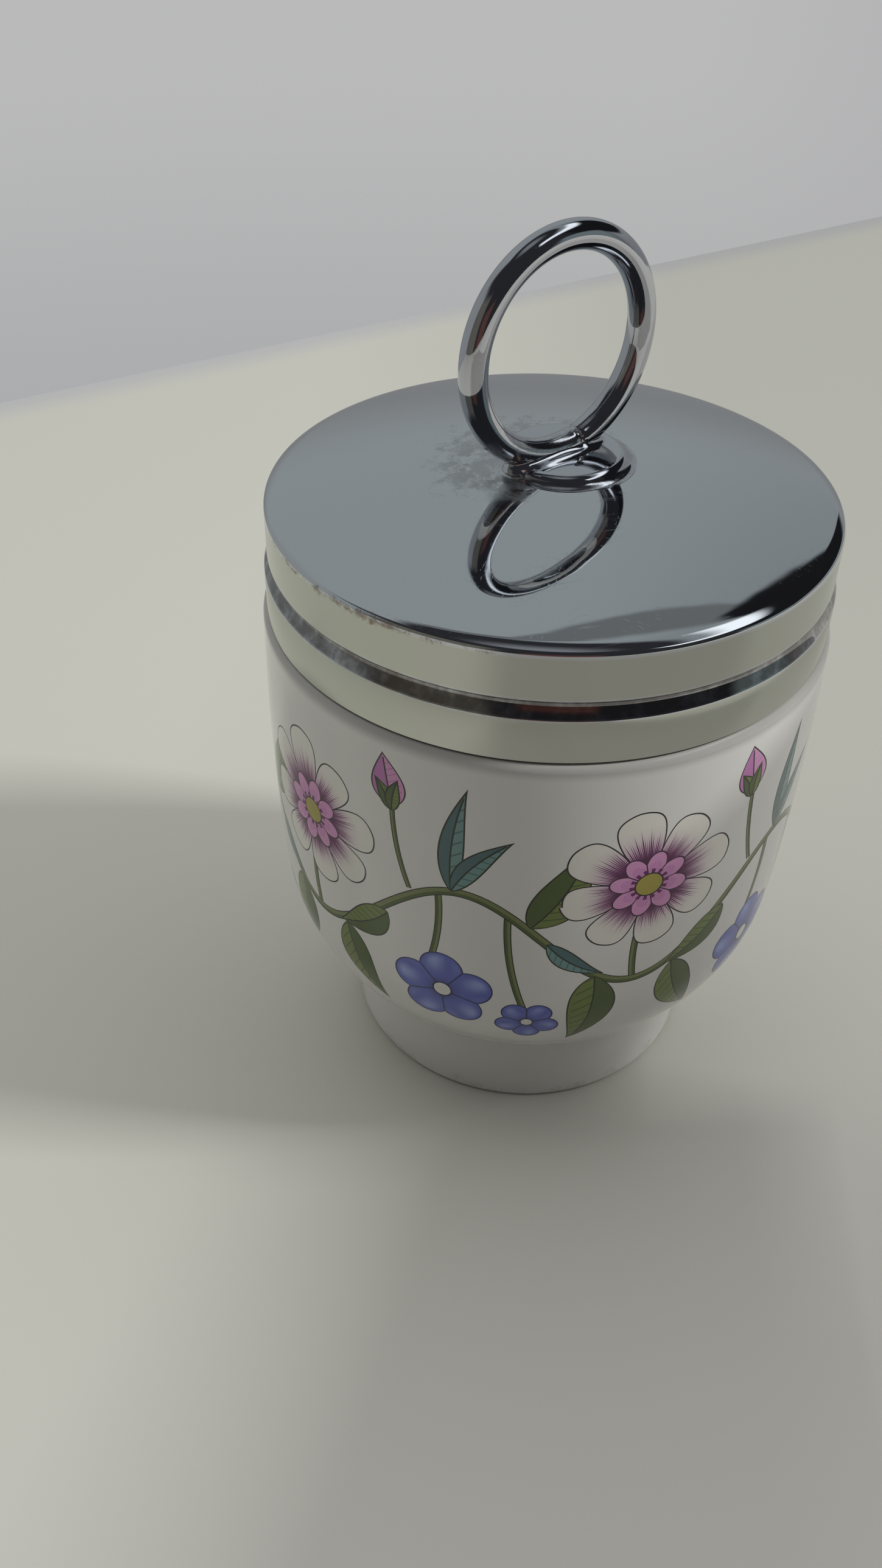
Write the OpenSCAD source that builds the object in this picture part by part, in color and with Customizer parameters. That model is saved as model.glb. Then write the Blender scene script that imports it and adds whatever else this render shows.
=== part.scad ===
// Porcelain egg coddler: a round footed cup with a screwed neck, and a pressed metal lid
// that carries a soldered finger ring. Millimetres, +Z up, origin under the foot's centre.
// The front of the finger ring faces -Y.

/* [Cup] */
// Greatest radius of the porcelain body
body_r = 33.2; // [31:0.2:36]
// Height of the greatest radius above the table
body_r_z = 53; // [48:1:57]
// Radius of the long curve that the side follows from top to bottom
side_curve_r = 353; // [250:1:600]
// Height at which the side turns into the belly
belly_z = 29; // [26:0.5:32]
// Radius of the belly curve that draws the body in to its foot
belly_curve_r = 24; // [22:0.5:27]
// Outer radius of the foot
foot_r = 23.2; // [21:0.2:25]
// Radius of the hollow curve between the foot and the belly
foot_fillet_r = 1.2; // [0.6:0.2:2]
// Thickness of the foot ring
foot_t = 3.2; // [2.4:0.2:5]
// Depth of the hollow under the foot
recess_h = 6; // [4.6:0.2:8]
// Thickness of the cup's floor
floor_t = 4.2; // [3:0.2:6]
// Thickness of the cup's side
wall_t = 3.4; // [2.6:0.2:4.6]
// Height of the shoulder that the lid comes down to
shoulder_z = 65.2; // [62:0.2:68]
// Radius of the rounded shoulder edge
shoulder_round = 0.9; // [0.4:0.1:1.2]

/* [Thread] */
// Rise of the thread in one turn
thread_pitch = 4; // [3.8:0.1:4.2]
// Depth of the lid's thread
thread_depth = 1.2; // [0.8:0.1:1.4]
// Turns of thread on the cup's neck
cup_turns = 1.6; // [1.2:0.1:1.6]
// Turns of thread in the lid's liner
liner_turns = 1.25; // [0.8:0.05:1.4]
// Free space between a crest and the wall that it faces
thread_gap = 0.4; // [0.3:0.05:0.6]
// Width of a thread ridge at its foot
ridge_foot_w = 1.6; // [1.4:0.1:1.7]
// Width of a thread ridge at its crest
ridge_crest_w = 0.9; // [0.6:0.1:1]
// Height of the cup thread's lower end above the shoulder
cup_thread_start = 2.2; // [2.1:0.1:2.4]
// Thickness of the cup's wall at its mouth
mouth_t = 2.8; // [2.4:0.1:4]

/* [Lid] */
// Thickness of the lid's metal sheet
sheet_t = 0.5; // [0.4:0.1:0.6]
// Gap between the lid's lower edge and the shoulder when screwed down
lid_gap = 0.3; // [0.2:0.1:0.6]
// How far the lid's lower band stands inside the body's greatest radius
lid_inset = 0.7; // [0.4:0.1:1.4]
// How far the upper band stands inside the lower one
band_step = 0.4; // [0:0.1:0.6]
// Height of the lid's lower band
lower_band_h = 5.1; // [4.6:0.1:6]
// Height of the rolled groove between the bands
groove_h = 2.1; // [1.8:0.1:2.6]
// Depth of the rolled groove
groove_depth = 0.6; // [0.4:0.1:0.8]
// Height of the lid's upper band with its rounded edge
upper_band_h = 5.6; // [5.4:0.1:7]
// Radius of the rounded edge round the lid's top
edge_r = 0.8; // [0.7:0.1:1.4]
// Rise of the lid's domed top above its edge
dome_h = 3.7; // [1.5:0.1:5]

/* [Liner and seal] */
// Thickness of the threaded liner's sheet
liner_t = 0.5; // [0.4:0.1:0.7]
// Fit between the liner and the lid cover
liner_fit = 0.1; // [0.05:0.05:0.2]
// Gap between the liner's flange and the inside of the lid's top
flange_gap = 0.3; // [0.2:0.1:0.5]
// Height of the liner's lower edge above the lid's lower edge
liner_lift = 0.8; // [0.5:0.1:1.2]
// Thickness of the sealing ring
seal_t = 1.6; // [1.2:0.1:2.2]
// Gap between the sealing ring's edges and the liner and mouth
seal_gap = 0.3; // [0.2:0.1:0.6]

/* [Finger ring] */
// Radius of the ring's wire centre line
ring_r = 11.35; // [10.4:0.05:12.4]
// Radius of the ring's wire
wire_r = 1.55; // [1.3:0.05:1.8]
// How deep the ring's curve is cut off flat where it stands on its base
foot_cut = 2; // [1:0.1:2.2]
// How far the ring was soldered off the lid's axis, to the left and to the back
ring_shift = 0.2; // [0:0.1:0.4]
// Radius of the round base under the ring
base_r = 7.9; // [7.4:0.1:9]
// Height of the base above the lid's crown
base_h = 1.8; // [1.4:0.1:2.4]
// How far the base was soldered to the right of the lid's axis
base_right = 1; // [0:0.1:1.4]
// How far the base was soldered towards the front
base_front = 0.6; // [0:0.1:1]
// How far the solder spreads beyond the wire
solder_w = 0.4; // [0.3:0.1:0.6]
// Height of the solder seam beside the ring
solder_h = 0.7; // [0.5:0.1:0.8]

/* [Hidden] */

// Numbers of segments: round bodies, small arcs and the thread's steps in one turn
round_fn = 120;
arc_n = 10;
dome_n = 24;
thread_fn = 48;
overlap = 0.3;
lap = 1;

// Radii from the outside of the lid inwards to the neck
skirt_r = body_r - lid_inset;
band_r = skirt_r - band_step;
groove_r = band_r - groove_depth;
liner_r = groove_r - sheet_t - liner_fit;
liner_in_r = liner_r - liner_t;
liner_top_r = band_r - sheet_t - liner_fit;
liner_crest_r = liner_in_r - thread_depth;
cup_crest_r = liner_in_r - thread_gap;
neck_r = liner_crest_r - thread_gap;
mouth_r = neck_r - mouth_t;
flange_in_r = mouth_r - 0.4;

// Heights from the shoulder upwards to the finger ring
skirt_z = shoulder_z + lid_gap;
groove_z = skirt_z + lower_band_h;
band_z = groove_z + groove_h;
edge_z = band_z + upper_band_h;
crown_z = edge_z + dome_h;
liner_z = skirt_z + liner_lift;
flange_z = edge_z - sheet_t - flange_gap - liner_t;
rim_z = flange_z - seal_t;
rim_round = 0.7;
seal_play = 0.05;
base_top_z = crown_z + base_h;
ring_z = base_top_z + ring_r + wire_r - foot_cut;

// Thread ridges: the lid's ridge starts under the cup's and runs half a pitch below it
cup_thread_z = shoulder_z + cup_thread_start;
liner_thread_a = 165;
liner_thread_z = cup_thread_z + thread_pitch * (liner_thread_a / 360 - 0.5);

function joined(p) = [for (i = [0:len(p) - 1]) if (i == 0 || norm(p[i] - p[i - 1]) > 0.005) p[i]];

function arc(c, r, a0, a1, n = arc_n) =
    [for (i = [0:n]) [c[0] + r * cos(a0 + (a1 - a0) * i / n), c[1] + r * sin(a0 + (a1 - a0) * i / n)]];

// Centres and tangent angles of the curves in the cup's outline
side_c = [body_r - side_curve_r, body_r_z];
turn_a = asin((belly_z - body_r_z) / side_curve_r);
belly_c = side_c + (side_curve_r - belly_curve_r) * [cos(turn_a), sin(turn_a)];
fillet_x = foot_r + foot_fillet_r;
fillet_z = belly_c[1] - sqrt(pow(belly_curve_r + foot_fillet_r, 2) - pow(fillet_x - belly_c[0], 2));
fillet_a = atan2(fillet_z - belly_c[1], fillet_x - belly_c[0]);
shoulder_a = asin((shoulder_z - shoulder_round - body_r_z) / side_curve_r);
shoulder_r = side_c[0] + side_curve_r * cos(shoulder_a);

// Outside of the cup from under the foot to the rim
foot_round = 0.8;
foot_in_r = foot_r - foot_t;
recess_round = 2.5;
neck_fillet = 0.8;

function cup_underside() = concat(
    [[0, recess_h]],
    arc([foot_in_r - recess_round, recess_h - recess_round], recess_round, 90, 0),
    arc([foot_in_r + foot_round, foot_round], foot_round, 180, 270),
    arc([foot_r - foot_round, foot_round], foot_round, 270, 360));

function cup_outside() = concat(
    arc([fillet_x, fillet_z], foot_fillet_r, 180, 180 + fillet_a),
    arc(belly_c, belly_curve_r, fillet_a, turn_a, 24),
    arc(side_c, side_curve_r, turn_a, shoulder_a, 24),
    arc([shoulder_r - shoulder_round, shoulder_z - shoulder_round], shoulder_round, 0, 90),
    arc([neck_r + neck_fillet, shoulder_z + neck_fillet], neck_fillet, 270, 180),
    arc([neck_r - rim_round, rim_z - rim_round], rim_round, 0, 90));

// Inside of the cup from the rim down to the floor
inner_side_r = side_curve_r - wall_t;
inner_belly_r = belly_curve_r - wall_t;
floor_z = max(recess_h + floor_t, belly_c[1] - inner_belly_r + 0.1);
floor_a = -asin((belly_c[1] - floor_z) / inner_belly_r);
cave_top = shoulder_z - 1;
cave_low = shoulder_z - 9;
cave_a = asin((cave_low - body_r_z) / inner_side_r);
cave_r = side_c[0] + inner_side_r * cos(cave_a);

function cup_inside() = concat(
    arc([mouth_r + rim_round, rim_z - rim_round], rim_round, 90, 180),
    [for (i = [0:16]) [mouth_r + (cave_r - mouth_r) * (1 - cos(180 * i / 16)) / 2,
                       cave_top + (cave_low - cave_top) * i / 16]],
    arc(side_c, inner_side_r, cave_a, turn_a, 16),
    arc(belly_c, inner_belly_r, turn_a, floor_a, 16),
    [[0, floor_z]]);

// A ridge that climbs round the axis, thinned out to nothing at both ends
module helix_ridge(foot, crest, start_z, start_a, turns) {
    steps = round(turns * thread_fn);
    run_out = 5;
    function grow(i) = min(1, i / run_out, (steps - i) / run_out);
    function at(i, r, dz) = let (a = start_a + 360 * i / thread_fn)
        [r * cos(a), r * sin(a), start_z + thread_pitch * i / thread_fn + dz];
    function section(i) = let (tip = foot + (crest - foot) * max(0.04, grow(i)))
        [at(i, foot, -ridge_foot_w / 2), at(i, tip, -ridge_crest_w / 2),
         at(i, tip, ridge_crest_w / 2), at(i, foot, ridge_foot_w / 2)];
    order = crest > foot ? [0, 1, 2, 3] : [3, 2, 1, 0];
    points = [for (i = [0:steps]) for (k = order) section(i)[k]];
    sides = [for (i = [0:steps - 1]) for (k = [0:3]) let (a = 4 * i + k, b = 4 * i + (k + 1) % 4)
             each [[a, b, b + 4], [a, b + 4, a + 4]]];
    last = 4 * steps;
    polyhedron(points, concat([[3, 2, 1, 0], [last, last + 1, last + 2, last + 3]], sides), 6);
}

// Outside of the lid from its lower edge to the crown, moved inwards by t
dome_r = (pow(band_r - edge_r, 2) + pow(dome_h, 2)) / (2 * dome_h) + edge_r;
dome_a = asin((band_r - edge_r) / (dome_r - edge_r));
function lid_curve(t) = concat(
    [[skirt_r - t, skirt_z]],
    [[skirt_r - t, groove_z]],
    [for (i = [1:arc_n]) [skirt_r - t - band_step * i / arc_n - groove_depth * sin(180 * i / arc_n),
                          groove_z + groove_h * i / arc_n]],
    arc([band_r - edge_r, edge_z - edge_r], edge_r - t, 0, 90 - dome_a),
    arc([0, crown_z - dome_r], dome_r - t, 90 - dome_a, 90, dome_n));

function reversed(list) = [for (i = [len(list) - 1:-1:0]) list[i]];

module lid_outer_body() {
    rotate_extrude($fn = round_fn)
        polygon(joined(concat(lid_curve(0), [[0, skirt_z]])));
}

module ring_torus() {
    translate([-ring_shift, ring_shift, ring_z])
        rotate([90, 0, 0])
            rotate_extrude($fn = round_fn)
                translate([ring_r, 0])
                    circle(r = wire_r, $fn = 48);
}

// Wire of the ring above the plane of its flat foot
module ring_above_foot() {
    difference() {
        ring_torus();
        translate([0, 0, base_top_z - 2 * ring_r])
            cube([4 * ring_r, 4 * ring_r, 4 * ring_r], center = true);
    }
}

// Round base with a full-round edge; its lower part is hidden in the lid
edge_round = base_h / 2 + 0.15;
module base_disc() {
    translate([base_right, -base_front, 0])
        rotate_extrude($fn = round_fn)
            polygon(joined(concat(
                [[0, base_top_z - 2 * edge_round - lap]],
                [[base_r - edge_round, base_top_z - 2 * edge_round - lap]],
                arc([base_r - edge_round, base_top_z - edge_round], edge_round, -90, 90, 16),
                [[0, base_top_z]])));
}

module porcelain_cup() {
    color([0.93, 0.93, 0.9]) {
        rotate_extrude($fn = round_fn)
            polygon(joined(concat(cup_underside(), cup_outside(), cup_inside())));
        helix_ridge(neck_r - overlap, cup_crest_r, cup_thread_z, 0, cup_turns);
    }
}

module lid_cover() {
    color([0.75, 0.77, 0.8])
        rotate_extrude($fn = round_fn)
            polygon(joined(concat(lid_curve(0), reversed(lid_curve(sheet_t)))));
}

module thread_liner() {
    shelf_z = band_z + liner_fit;
    color([0.6, 0.6, 0.58]) {
        rotate_extrude($fn = round_fn)
            polygon([
                [liner_in_r, liner_z],
                [liner_r, liner_z],
                [liner_r, shelf_z],
                [liner_top_r, shelf_z + liner_top_r - liner_r],
                [liner_top_r, flange_z + liner_t],
                [flange_in_r, flange_z + liner_t],
                [flange_in_r, flange_z],
                [liner_in_r, flange_z]]);
        helix_ridge(liner_in_r + overlap, liner_crest_r, liner_thread_z, liner_thread_a, liner_turns);
    }
}

module sealing_ring() {
    color([0.25, 0.24, 0.23])
        rotate_extrude($fn = round_fn)
            translate([mouth_r + seal_gap, rim_z + seal_play])
                square([liner_in_r - mouth_r - 2 * seal_gap, seal_t - 2 * seal_play]);
}

module ring_base() {
    color([0.7, 0.72, 0.75])
        difference() {
            base_disc();
            lid_outer_body();
        }
}

module lift_ring() {
    color([0.8, 0.82, 0.85])
        ring_above_foot();
}

// Half the length of the ring's flat foot, and how far the seam's round ends lie from its middle
foot_half = sqrt(pow(ring_r + wire_r, 2) - pow(ring_r + wire_r - foot_cut, 2));
seam_end = foot_half - wire_r - 0.2;
seam_r = wire_r + solder_w;
seam_top_r = wire_r - 0.2;

// Solder along both sides of the foot, run down over the base's edge at the left end
module solder_seam() {
    color([0.62, 0.63, 0.65])
        difference() {
            translate([-ring_shift, ring_shift, base_top_z]) {
                for (side = [-1, 1])
                    translate([side * seam_end, 0, 0])
                        cylinder(r1 = seam_r, r2 = seam_top_r, h = solder_h, $fn = 32);
                rotate([90, 0, 90])
                    linear_extrude(2 * seam_end, center = true)
                        polygon([[-seam_r, 0], [seam_r, 0], [seam_top_r, solder_h], [-seam_top_r, solder_h]]);
                translate([-seam_end, 0, -edge_round])
                    cylinder(r = seam_r, h = edge_round, $fn = 32);
            }
            ring_above_foot();
            base_disc();
        }
}

porcelain_cup();
lid_cover();
thread_liner();
sealing_ring();
ring_base();
lift_ring();
solder_seam();
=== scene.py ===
# %% [markdown]
# # A porcelain egg coddler
# An egg is cooked and served in this cup. It stands in simmering water with its metal lid
# screwed down, and is lifted out by the ring. This file dresses the exact solids of the cup
# with smooth surfaces and real finishes, one piece at a time.

# %% The frame that everything is built on
import math

import bpy
from mathutils import Matrix, Vector
from mathutils.kdtree import KDTree


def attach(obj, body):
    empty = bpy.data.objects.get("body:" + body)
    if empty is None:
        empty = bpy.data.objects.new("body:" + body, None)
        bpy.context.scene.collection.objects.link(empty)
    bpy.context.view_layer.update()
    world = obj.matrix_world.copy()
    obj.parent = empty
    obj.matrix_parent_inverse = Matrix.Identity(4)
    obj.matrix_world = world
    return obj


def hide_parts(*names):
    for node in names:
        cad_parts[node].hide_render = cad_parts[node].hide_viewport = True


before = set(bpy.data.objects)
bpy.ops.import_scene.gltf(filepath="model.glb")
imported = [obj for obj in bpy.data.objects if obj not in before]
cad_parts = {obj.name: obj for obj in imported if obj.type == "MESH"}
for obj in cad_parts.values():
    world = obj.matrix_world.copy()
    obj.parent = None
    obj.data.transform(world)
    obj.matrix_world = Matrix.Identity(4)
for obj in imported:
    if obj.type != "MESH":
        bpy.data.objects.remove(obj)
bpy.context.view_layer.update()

# %% [markdown]
# ## Camera
# The photograph was taken by hand from about seventeen centimetres, looking down at forty
# degrees, so its perspective is strong: the lid looks much larger than the foot. The lens and
# the place come from matching the ellipses of the lid, the rim and the foot.

# %% Camera
PLACE, LENS, SENSOR, NEAREST = (-0.09223, -0.10307, 0.15053), 31.303, 36, 0.01
FORWARD, RIGHT = (0.46089, 0.61349, -0.64125), (0.80634, -0.59129, 0.01386)

data = bpy.data.cameras.new("Camera")
data.sensor_fit, data.sensor_height, data.lens = "VERTICAL", SENSOR, LENS
data.clip_start = NEAREST
camera = bpy.data.objects.new("Camera", data)
bpy.context.scene.collection.objects.link(camera)
upright = Vector(RIGHT).cross(Vector(FORWARD))
turned = Matrix((Vector(RIGHT), upright, -Vector(FORWARD))).transposed()
camera.matrix_world = Matrix.Translation(PLACE) @ turned.to_4x4()
bpy.context.scene.camera = camera
print("camera lens, mm:", camera.data.lens)

# %% [markdown]
# ## Drawing round pieces
# The cup, the lid and the base were all made by turning: the porcelain on a wheel and the
# metal on a press with round tools. So each is drawn as half of its cross-section, one vertex
# extruded from the next, and spun round its axis. A subdivided cylinder would need its edges
# held in place. A spun outline has its roundings drawn in.

# %% Helpers for outlines
MM = 0.001


def arc(centre, radius, start, end, count=10):
    """Points of an arc, with its angles in degrees and counted from the outward direction."""
    angles = [math.radians(start + (end - start) * i / count) for i in range(count + 1)]
    return [(centre[0] + radius * math.cos(a), centre[1] + radius * math.sin(a)) for a in angles]


def without_repeats(outline, least=0.004):
    """The outline with each point dropped that lies on the one before it."""
    kept = [outline[0]]
    for point in outline[1:]:
        if math.dist(point, kept[-1]) > least:
            kept.append(point)
    return kept


# %% Helpers for the piece that is being made
def deselect_all():
    if bpy.context.object and bpy.context.object.mode != "OBJECT":
        bpy.ops.object.mode_set(mode="OBJECT")
    bpy.ops.object.select_all(action="DESELECT")


def name_piece(name):
    """Names the active object and moves its place into its mesh."""
    piece = bpy.context.object
    piece.name = piece.data.name = name
    bpy.ops.object.transform_apply(location=True, rotation=True, scale=True)
    return piece


def cut_away(*planes):
    """Cuts the piece at each plane, a point in mm and a direction, and drops what lies past it."""
    bpy.ops.object.mode_set(mode="EDIT")
    for point, outward in planes:
        bpy.ops.mesh.select_all(action="SELECT")
        bpy.ops.mesh.bisect(plane_co=[c * MM for c in point], plane_no=outward, use_fill=True,
                            clear_outer=True, threshold=1e-6)
    bpy.ops.object.mode_set(mode="OBJECT")


def smooth(merge=0.0, angle=40):
    """Merges vertices within merge mm, turns faces outwards, and shades all but sharp edges."""
    bpy.ops.object.mode_set(mode="EDIT")
    bpy.ops.mesh.select_all(action="SELECT")
    if merge:
        bpy.ops.mesh.remove_doubles(threshold=merge * MM)
    bpy.ops.mesh.normals_make_consistent(inside=False)
    bpy.ops.object.mode_set(mode="OBJECT")
    bpy.ops.object.shade_smooth_by_angle(angle=math.radians(angle))


# %% Spinning an outline into a piece
def spin_outline(name, outline, steps, axis_at=(0, 0)):
    """Draws outline, (radius, height) in mm, and spins it round the upright axis at axis_at."""
    outline = without_repeats(outline)
    deselect_all()
    x, y = axis_at[0] * MM, axis_at[1] * MM
    start = (x + outline[0][0] * MM, y, outline[0][1] * MM)
    bpy.ops.mesh.primitive_plane_add(size=MM, location=start)
    bpy.ops.object.mode_set(mode="EDIT")
    bpy.ops.mesh.merge(type="CENTER")
    for here, after in zip(outline, outline[1:]):
        step = ((after[0] - here[0]) * MM, 0, (after[1] - here[1]) * MM)
        bpy.ops.mesh.extrude_vertices_move(TRANSFORM_OT_translate={"value": step})
    bpy.ops.mesh.select_all(action="SELECT")
    bpy.ops.mesh.spin(steps=steps, angle=2 * math.pi, center=(x, y, 0), axis=(0, 0, 1))
    smooth(merge=0.002)
    piece = name_piece(name)
    print(name, len(outline), "points,", len(piece.data.polygons), "faces")
    return piece


# %% [markdown]
# ## Porcelain cup
# Slip was cast in a plaster mould: a tall cup with a nearly straight side, a full curve in to
# a plain round foot, and a neck whose screw ridge the lid's liner grips. The outline follows
# the same long arcs as the solid. It runs from the hollow under the foot, up the outside,
# over the shoulder and neck, and down the inside.

# %% Sizes of the cup, and where its arcs meet
BODY_R, BODY_R_Z, SIDE_ARC = 33.2, 53.0, 353.0
BELLY_Z, BELLY_ARC = 29.0, 24.0
FOOT_R, FOOT_FILLET, FOOT_ROUND = 23.2, 1.2, 0.8
HOLLOW_R, HOLLOW_H, HOLLOW_ROUND = 20.0, 6.0, 2.5
SHOULDER_Z, SHOULDER_ROUND = 65.2, 0.9
NECK_R, NECK_FILLET, MOUTH_R, RIM_Z, RIM_ROUND = 28.8, 0.8, 26.0, 75.4, 0.7
WALL, FLOOR_Z = 3.4, 10.2
WIDEN_FROM, WIDEN_TO, WIDEN_STEPS = 1, 9, 16

side_centre = (BODY_R - SIDE_ARC, BODY_R_Z)
belly_top = math.degrees(math.asin((BELLY_Z - BODY_R_Z) / SIDE_ARC))
belly_centre = (side_centre[0] + (SIDE_ARC - BELLY_ARC) * math.cos(math.radians(belly_top)),
                side_centre[1] + (SIDE_ARC - BELLY_ARC) * math.sin(math.radians(belly_top)))
fillet_x = FOOT_R + FOOT_FILLET
fillet_z = belly_centre[1] - math.sqrt((BELLY_ARC + FOOT_FILLET) ** 2
                                       - (fillet_x - belly_centre[0]) ** 2)
belly_low = math.degrees(math.atan2(fillet_z - belly_centre[1], fillet_x - belly_centre[0]))
side_top = math.degrees(math.asin((SHOULDER_Z - SHOULDER_ROUND - BODY_R_Z) / SIDE_ARC))
shoulder_r = side_centre[0] + SIDE_ARC * math.cos(math.radians(side_top))
inner_low = -math.degrees(math.asin((belly_centre[1] - FLOOR_Z) / (BELLY_ARC - WALL)))
wide_angle = math.degrees(math.asin((SHOULDER_Z - WIDEN_TO - BODY_R_Z) / (SIDE_ARC - WALL)))
wide_r = side_centre[0] + (SIDE_ARC - WALL) * math.cos(math.radians(wide_angle))
print("belly arc, degrees:", round(belly_low, 1), "to", round(belly_top, 1))

# %% Outline of the cup
cup_outside = (
    [(0.0, HOLLOW_H)]
    + arc((HOLLOW_R - HOLLOW_ROUND, HOLLOW_H - HOLLOW_ROUND), HOLLOW_ROUND, 90, 0)
    + arc((HOLLOW_R + FOOT_ROUND, FOOT_ROUND), FOOT_ROUND, 180, 270, 8)
    + arc((FOOT_R - FOOT_ROUND, FOOT_ROUND), FOOT_ROUND, 270, 360, 8)
    + arc((fillet_x, fillet_z), FOOT_FILLET, 180, 180 + belly_low, 10)
    + arc(belly_centre, BELLY_ARC, belly_low, belly_top, 48)
    + arc(side_centre, SIDE_ARC, belly_top, side_top, 48)
    + arc((shoulder_r - SHOULDER_ROUND, SHOULDER_Z - SHOULDER_ROUND), SHOULDER_ROUND, 0, 90, 10)
    + arc((NECK_R + NECK_FILLET, SHOULDER_Z + NECK_FILLET), NECK_FILLET, 270, 180, 6)
    + arc((NECK_R - RIM_ROUND, RIM_Z - RIM_ROUND), RIM_ROUND, 0, 90, 8))
cup_inside = (
    arc((MOUTH_R + RIM_ROUND, RIM_Z - RIM_ROUND), RIM_ROUND, 90, 180, 8)
    + [(MOUTH_R + (wide_r - MOUTH_R) * (1 - math.cos(math.pi * i / WIDEN_STEPS)) / 2,
        SHOULDER_Z - WIDEN_FROM - (WIDEN_TO - WIDEN_FROM) * i / WIDEN_STEPS)
       for i in range(WIDEN_STEPS + 1)]
    + arc(side_centre, SIDE_ARC - WALL, wide_angle, belly_top, 20)
    + arc(belly_centre, BELLY_ARC - WALL, belly_top, inner_low, 24)
    + [(0.0, FLOOR_Z)])
print("cup outline, points:", len(cup_outside) + len(cup_inside))

# %% The cup itself
cup = spin_outline("cup_body", cup_outside + cup_inside, 192)
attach(cup, "cup")
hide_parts("porcelain_cup")

# %% [markdown]
# ## Lid
# The cover was pressed from thin sheet: a shallow dome, a tight rounded edge, and a skirt with
# a groove rolled round it that grips the threaded liner inside. Its outline is drawn once
# outside and once inside, half a millimetre apart, so the lower edge shows its thickness.

# %% Outline of the lid
SKIRT_R, BAND_R, SHEET = 32.5, 32.1, 0.5
SKIRT_Z, GROOVE_Z, BAND_Z, EDGE_Z, CROWN_Z = 65.5, 70.6, 72.7, 78.3, 82.0
GROOVE_DEPTH, GROOVE_DEEPEST, GROOVE_BLUNT, GROOVE_STEPS = 0.62, 0.74, 0.25, 27
DOME_R, DOME_TO, TURN_R, TURN_TO = 145.0, 30.6, 5.0, 26.0

# The dome turns down in three arcs: a broad one, one of 5 mm, and the tight edge.
dome_slope = math.degrees(math.asin(DOME_TO / DOME_R))
turn_centre = ((DOME_R - TURN_R) * math.sin(math.radians(dome_slope)),
               CROWN_Z - DOME_R + (DOME_R - TURN_R) * math.cos(math.radians(dome_slope)))
turn_end = (turn_centre[0] + TURN_R * math.sin(math.radians(TURN_TO)),
            turn_centre[1] + TURN_R * math.cos(math.radians(TURN_TO)))
edge_round = (BAND_R - turn_end[0]) / (1 - math.sin(math.radians(TURN_TO)))
edge_centre = (BAND_R - edge_round, turn_end[1] - edge_round * math.cos(math.radians(TURN_TO)))


def lid_outline(inset):
    """The lid's outline from its lower edge to the crown, inset mm inside its outer face."""
    groove = []
    for t in (i / GROOVE_STEPS for i in range(GROOVE_STEPS + 1)):
        deep = min(t / GROOVE_DEEPEST, (1 - t) / (1 - GROOVE_DEEPEST))
        groove.append((SKIRT_R - inset - (SKIRT_R - BAND_R) * t
                       - GROOVE_DEPTH * deep * (1 - GROOVE_BLUNT * deep ** 4),
                       GROOVE_Z + (BAND_Z - GROOVE_Z) * t))
    return ([(SKIRT_R - inset, SKIRT_Z)] + groove
            + arc(edge_centre, edge_round - inset, 0, 90 - TURN_TO, 16)
            + arc(turn_centre, TURN_R - inset, 90 - TURN_TO, 90 - dome_slope, 6)
            + arc((0, CROWN_Z - DOME_R), DOME_R - inset, 90 - dome_slope, 90, 32))


print("edge radius, mm:", round(edge_round, 2), "at height", round(edge_centre[1], 2))

# %% The lid cover
lid = spin_outline("lid_shell", lid_outline(0) + lid_outline(SHEET)[::-1]
                   + [(SKIRT_R, SKIRT_Z)], 256)
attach(lid, "lid")
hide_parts("lid_cover")

# %% [markdown]
# ## Finger ring and its base
# A low round base sits on the crown, a little off centre, as hand soldering left it. Its edge
# rolls over and runs out on the lid in a hollow curve. On it stands a ring bent from round
# wire, whose curve is cut off flat where it is soldered down.

# %% Base under the ring
BASE_TOP, RIM_TOP, BASE_TO, ROLL, HOLLOW = 83.8, 82.95, 8.2, 1.2, 1.4
BASE_AT, BASE_SUNK, ROUND_SUNK = (1.3, 0.15), 0.5, 0.22

base_foot = CROWN_Z - ROUND_SUNK
steepest = math.degrees(math.asin(1 - (RIM_TOP - base_foot) / (ROLL + HOLLOW)))
roll_r = BASE_TO - (ROLL + HOLLOW) * math.cos(math.radians(steepest))
base_outline = ([(0.0, CROWN_Z - BASE_SUNK), (BASE_TO, CROWN_Z - BASE_SUNK)]
                + arc((BASE_TO, base_foot + HOLLOW), HOLLOW, 270, 180 + steepest, 16)
                + arc((roll_r, RIM_TOP - ROLL), ROLL, steepest, 90, 16)
                + [(roll_r * (1 - i / 4), RIM_TOP) for i in range(1, 5)])
print("base, steepest normal:", round(steepest), "degrees up; flat to", round(roll_r, 2), "mm")
base = spin_outline("ring_stand", base_outline, 160, axis_at=BASE_AT)
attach(base, "lid")
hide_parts("ring_base")

# %% Ring
RING_R, WIRE_R, FOOT_CUT, CUT_SUNK = 11.35, 1.55, 2.0, 1.0
RING_AT = Vector((-0.2, 0.2, BASE_TOP + RING_R + WIRE_R - FOOT_CUT))
deselect_all()
bpy.ops.mesh.primitive_torus_add(
    major_segments=384, minor_segments=40, major_radius=RING_R * MM, minor_radius=WIRE_R * MM,
    location=RING_AT * MM, rotation=(math.pi / 2, 0, 0))
ring = name_piece("finger_ring")
print("ring stands up to", round(RING_AT.z + RING_R + WIRE_R, 2), "mm")

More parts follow.
